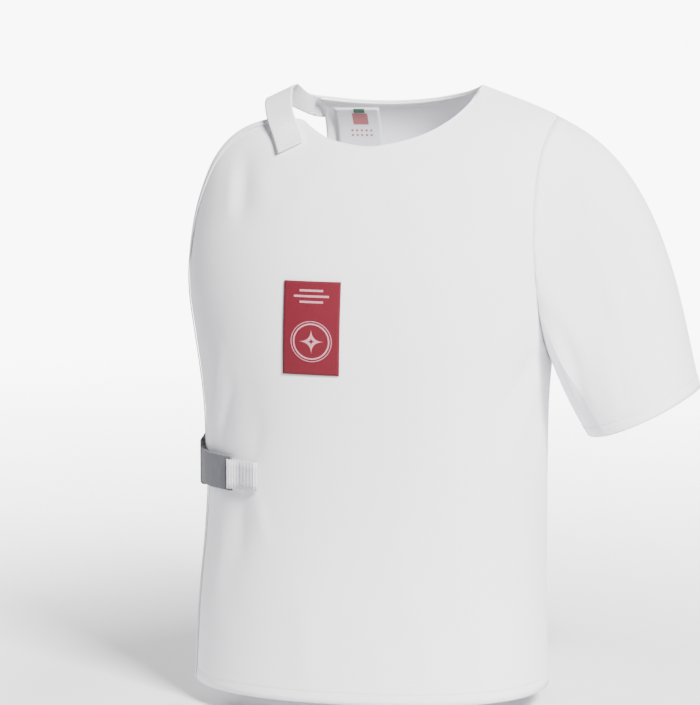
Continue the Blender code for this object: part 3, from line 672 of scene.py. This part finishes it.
def badge_material():
    made = Finish("woven_crimson_badge")
    across, up = made.cloth_axes("cloth")
    place = made.place()
    ring_x, ring_y = across - 0.5, (up - 0.36) * 1.61
    radius = (ring_x * ring_x + ring_y * ring_y).sum("SQRT")
    ring = radius.sum("COMPARE", 0.30, 0.012).sum("MAXIMUM", radius.sum("COMPARE", 0.345, 0.006))
    star_reach = ring_x.sum("ABSOLUTE").sum("SQRT") + ring_y.sum("ABSOLUTE").sum("SQRT")
    star = star_reach.sum("LESS_THAN", 0.47)
    inner_star = star_reach.sum("LESS_THAN", 0.28)
    device = ring.sum("MAXIMUM", star - inner_star)
    for height, reach, thick in ((0.90, 0.20, 0.011), (0.84, 0.30, 0.011), (0.78, 0.20, 0.011)):
        bar = up.sum("COMPARE", height, thick) * ring_x.sum("ABSOLUTE").sum("LESS_THAN", reach)
        device = device.sum("MAXIMUM", bar)
    thread_up = up * 92.0
    thread_across = across * 57.0
    weave = thread_across.wave(0.55) * thread_up.wave(0.7)
    fleck = made.noise(place, 700.0, 2.0)
    red = made.mix(fleck, (0.09, 0.0002, 0.006, 1), (0.16, 0.0006, 0.013, 1))
    pale = made.mix(fleck, (0.45, 0.14, 0.19, 1), (0.66, 0.36, 0.41, 1))
    made.set(Base_Color=made.mix(device * 0.9, red, pale))
    made.set(Roughness=0.62 + 0.2 * (fleck - 0.5), Sheen_Weight=0.08, Specular_IOR_Level=0.3)
    made.relief(weave * 0.25 + device * 0.8 + fleck * 0.3, 0.0004, 0.6)
    return made.material


def flat_uv(made, low, high):
    """Places of an upright patch as shares of its width and height."""
    points = read_points(made.data)
    across = (points[:, 0] - low[0]) / (high[0] - low[0])
    up = (points[:, 2] - low[2]) / (high[2] - low[2])
    spread_uv(made, np.stack((across, up), axis=1))


def sewn_patch(node, name, finish):
    """A patch sewn flat on the cloth under it."""
    made = smooth_object(merged_copy(node), name)
    flat_uv(made, *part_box(node))
    made.data.materials.clear()
    made.data.materials.append(finish)
    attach(made, "root")
    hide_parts(node)
    return made


badge = sewn_patch("chest_badge", "chest-badge-woven", badge_material())

# ---------------------------------------------------------------- labels inside the back
# A white satin label is sewn inside the back neck with a small dark tag above it.  Its
# print is a plain red band and rows of plain blocks, with no lettering.


def label_material():
    made = Finish("printed_satin_label")
    across, up = made.cloth_axes("cloth")
    place = made.place()
    band = across.sum("COMPARE", 0.55, 0.17) * up.sum("COMPARE", 0.80, 0.10)
    blocks = band
    for height in (0.60, 0.52, 0.30, 0.22):
        row = up.sum("COMPARE", height, 0.018) * across.sum("COMPARE", 0.55, 0.26)
        blocks = blocks.sum("MAXIMUM", row * (across * 60.0).sum("SINE").sum("GREATER_THAN", 0.1))
    sheen = made.noise(place, 400.0, 2.0)
    ground = made.mix(sheen, (0.72, 0.72, 0.76, 1), (0.82, 0.82, 0.86, 1))
    made.set(Base_Color=made.mix(blocks * 0.85, ground, (0.34, 0.006, 0.012, 1)))
    made.set(Roughness=0.34 + 0.1 * sheen, Specular_IOR_Level=0.5)
    made.relief((across * 46.0).wave(0.5) * 0.3 + made.noise(place, 60.0, 1.0), 0.0005, 0.5)
    return made.material


def tag_material():
    made = Finish("dark_woven_tag")
    place = made.place()
    fleck = made.noise(place, 900.0, 2.0)
    made.set(Base_Color=made.mix(fleck, (0.02, 0.07, 0.035, 1), (0.10, 0.20, 0.13, 1)))
    made.set(Roughness=0.7 + 0.1 * fleck)
    made.relief(fleck, 0.0003, 0.5)
    return made.material


label = sewn_patch("care_label", "care-label-satin", label_material())
tag = sewn_patch("size_tag", "size-tag-woven", tag_material())

# ---------------------------------------------------------------- neck strap
# A length of ribbed white webbing runs from inside the back neck over the wearer's
# right shoulder, and is folded and boxed down on a pad at the front.


WEBBING_PICK = 0.0019


def webbing(name, tint, shade, rib):
    """Webbing with ribs across its width."""
    made = Finish(name)
    place = made.place()
    along, across = made.cloth_axes("cloth")
    fleck = made.noise(place, 500.0, 2.0)
    ribs = along.wave(rib)
    picks = across.wave(WEBBING_PICK)
    made.set(Base_Color=made.mix((fleck + ribs * 0.15).sum("MAXIMUM", 0.0), shade, tint))
    made.set(Roughness=0.74 + 0.12 * (fleck - 0.5), Sheen_Weight=0.1, Specular_IOR_Level=0.3)
    made.relief(ribs * 0.5 + picks * 0.3 + fleck * 0.2, 0.0005, 0.6)
    return made.material


def strap_piece(node, name, finish, path):
    """A strap smoothed from its node, with its length and width as its flat places."""
    made = smooth_object(merged_copy(node), name)
    points = read_points(made.data)
    path = np.array(path)
    steps = np.concatenate(([0], np.cumsum(np.linalg.norm(np.diff(path, axis=0), axis=1))))
    best, along = np.full(len(points), 9.0), np.zeros(len(points))
    for k, (start, end) in enumerate(zip(path[:-1], path[1:])):
        way = end - start
        share = np.clip(((points - start) @ way) / (way @ way), 0, 1)
        off = np.linalg.norm(points - start - share[:, None] * way, axis=1)
        closer = off < best
        best[closer] = off[closer]
        along[closer] = (steps[k] + share * (steps[k + 1] - steps[k]))[closer]
    spread_uv(made, np.stack((along, points[:, 2]), axis=1))
    made.data.materials.clear()
    made.data.materials.append(finish)
    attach(made, "root")
    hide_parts(node)
    return made


WEBBING_RIB = 0.0021
WEBBING_WHITE, WEBBING_SHADE = (0.90, 0.90, 0.92, 1), (0.78, 0.78, 0.81, 1)
white_webbing = webbing("ribbed_white_webbing", WEBBING_WHITE, WEBBING_SHADE, WEBBING_RIB)
NECK_STRAP_PATH = (
    (-0.048, 0.060, -0.0345),
    (-0.071, 0.052, -0.0315),
    (-0.097, 0.026, -0.015),
    (-0.102, 0.004, -0.0095),
    (-0.103, -0.018, -0.0095),
    (-0.100, -0.041, -0.0155),
    (-0.0945, -0.0615, -0.0285),
    (-0.080, -0.0795, -0.0595),
)
strap_piece(
    "neck_strap",
    "neck-strap-webbing",
    white_webbing,
    NECK_STRAP_PATH,
)
# The pad takes the trim cloth's darker colours, a painted shade.
pad = plain_sheet("strap_pad", "strap-pad-cloth", trim_cloth_painted_shade)

# ---------------------------------------------------------------- waist fastening
# A doubled tab of webbing is boxed down at the waist and holds the grey half of a side
# buckle.  The dark half carries a light grey elastic that is sewn to the back panel.


def moulded(name, tint, shade, roughness):
    """Satin moulded plastic with a fine spark texture."""
    made = Finish(name)
    place = made.place()
    grain = made.noise(place, 1400.0, 3.0)
    cloud = made.noise(place, 45.0, 2.0)
    made.set(Base_Color=made.mix(grain * 0.5 + cloud * 0.5, shade, tint))
    made.set(Roughness=roughness + 0.18 * (grain - 0.5), Specular_IOR_Level=0.45)
    made.relief(grain, 0.00012, 0.5)
    return made.material


def box_paint(node, finish):
    """Gives a hard node its finish."""
    nodes[node].data.materials.clear()
    nodes[node].data.materials.append(finish)


# The tab is white webbing like the neck strap; its colours are darker than the strap's, a painted
# shade at the waist.
TAB_WHITE_IN_PAINTED_SHADE, TAB_SHADE = (0.66, 0.66, 0.69, 1), (0.55, 0.55, 0.58, 1)
shaded_tab_webbing = webbing("doubled_tab_webbing", TAB_WHITE_IN_PAINTED_SHADE, TAB_SHADE, WEBBING_RIB)
tab_low, tab_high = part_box("waist_tab")
strap_piece(
    "waist_tab",
    "waist-tab-webbing",
    shaded_tab_webbing,
    ((tab_high.x, tab_high.y, 0), (tab_low.x, tab_low.y, 0)),
)
grey_plastic = moulded("satin_grey_plastic", (0.15, 0.15, 0.17, 1), (0.11, 0.11, 0.13, 1), 0.45)
dark_plastic = moulded("satin_dark_plastic", (0.085, 0.085, 0.095, 1), (0.06, 0.06, 0.07, 1), 0.42)
box_paint("buckle_male", grey_plastic)
box_paint("buckle_female", dark_plastic)
elastic_finish = webbing("light_grey_elastic", (0.66, 0.66, 0.69, 1), (0.50, 0.50, 0.54, 1), 0.0016)
ELASTIC_PATH = (
    (-0.186, 0.020, 0),
    (-0.182, 0.044, 0),
    (-0.168, 0.066, 0),
    (-0.146, 0.082, 0),
    (-0.120, 0.090, 0),
    (-0.072, 0.100, 0),
)
strap_piece(
    "waist_strap",
    "waist-elastic-webbing",
    elastic_finish,
    ELASTIC_PATH,
)

# ---------------------------------------------------------------- floor, light and camera
# A plain pale sheet under the jacket, a broad soft key from the front right, a weak fill,
# a narrow light behind the open side and a broad one behind the back.

FLOOR_FADE_START, FLOOR_FADE_END = 0.35, 2.4


def stage_floor():
    """A level sheet that fades out into the pale room around it."""
    made = Finish("pale_floor")
    place = made.place()
    split = made.tree.nodes.new("ShaderNodeSeparateXYZ")
    made.tree.links.new(place.socket, split.inputs[0])
    across, deep = Wire(made, split.outputs[0]), Wire(made, split.outputs[1])
    radius = (across * across + deep * deep).sum("SQRT")
    fade = ((FLOOR_FADE_END - radius) / (FLOOR_FADE_END - FLOOR_FADE_START)).sum("MAXIMUM", 0.0)
    grain = made.noise(place, 3.0, 2.0)
    made.set(Base_Color=made.mix(grain, (0.80, 0.80, 0.81, 1), (0.84, 0.84, 0.85, 1)))
    made.set(Roughness=0.9, Alpha=fade.sum("MINIMUM", 1.0))
    mesh = bpy.data.meshes.new("pale-floor")
    reach, level = FLOOR_FADE_END, cad_low.z - 0.02
    corners = [(x * reach, y * reach, level) for x, y in ((-1, -1), (1, -1), (1, 1), (-1, 1))]
    mesh.from_pydata(corners, [], [(0, 1, 2, 3)])
    floor = bpy.data.objects.new("pale-floor", mesh)
    bpy.context.scene.collection.objects.link(floor)
    mesh.materials.append(made.material)


def soft_light(name, place, aim, size, power):
    lamp = bpy.data.lights.new(name, "AREA")
    lamp.shape, lamp.size, lamp.energy = "SQUARE", size, power
    made = bpy.data.objects.new(name, lamp)
    bpy.context.scene.collection.objects.link(made)
    made.location = place
    made.rotation_euler = (Vector(aim) - Vector(place)).to_track_quat("-Z", "Y").to_euler()


stage_floor()
middle = (0.0, 0.0, -0.3)
LAMPS = (
    # name, place, size, power
    ("key", (1.9, -2.3, 1.9), 1.0, 540.0),
    ("fill", (-0.4, -2.8, 0.9), 2.0, 2.0),
    ("rim", (-1.8, 0.7, 0.3), 0.6, 30.0),
    ("back", (1.2, 3.0, 1.3), 1.6, 150.0),
)
for lamp_name, lamp_place, lamp_size, lamp_power in LAMPS:
    soft_light(lamp_name, lamp_place, middle, lamp_size, lamp_power)
world = bpy.data.worlds.new("pale_room")
world.use_nodes = True
room = world.node_tree
room.nodes["Background"].inputs[0].default_value = (0.93, 0.945, 1.0, 1)
room.nodes["Background"].inputs[1].default_value = 0.07
bright, seen_wall, either = (room.nodes.new(kind) for kind in (
    "ShaderNodeBackground",
    "ShaderNodeLightPath",
    "ShaderNodeMixShader",
))
bright.inputs[0].default_value = (1.0, 1.0, 1.0, 1)
bright.inputs[1].default_value = 9.0
room.links.new(seen_wall.outputs["Is Camera Ray"], either.inputs[0])
room.links.new(room.nodes["Background"].outputs[0], either.inputs[1])
room.links.new(bright.outputs[0], either.inputs[2])
room.links.new(either.outputs[0], room.nodes["World Output"].inputs[0])
bpy.context.scene.world = world

CAMERA_AZIMUTH = math.radians(10)
CAMERA_ELEVATION = math.radians(8.5)
CAMERA_DISTANCE = 3.889
VIEW_RIGHT, VIEW_UP = -0.035, -0.2675
sa, ca = math.sin(CAMERA_AZIMUTH), math.cos(CAMERA_AZIMUTH)
se, ce = math.sin(CAMERA_ELEVATION), math.cos(CAMERA_ELEVATION)
right = Vector((ca, sa, 0))
up = Vector((-sa * se, ca * se, ce))
toward = Vector((sa * ce, -ca * ce, se))
lens = bpy.data.cameras.new("view")
lens.lens, lens.sensor_width, lens.clip_end = 200.0, 36.0, 100.0
camera = bpy.data.objects.new("view", lens)
bpy.context.scene.collection.objects.link(camera)
turn = Matrix((right, up, toward)).transposed().to_4x4()
aim = VIEW_RIGHT * right + VIEW_UP * up
camera.matrix_world = Matrix.Translation(aim + CAMERA_DISTANCE * toward) @ turn
bpy.context.scene.camera = camera
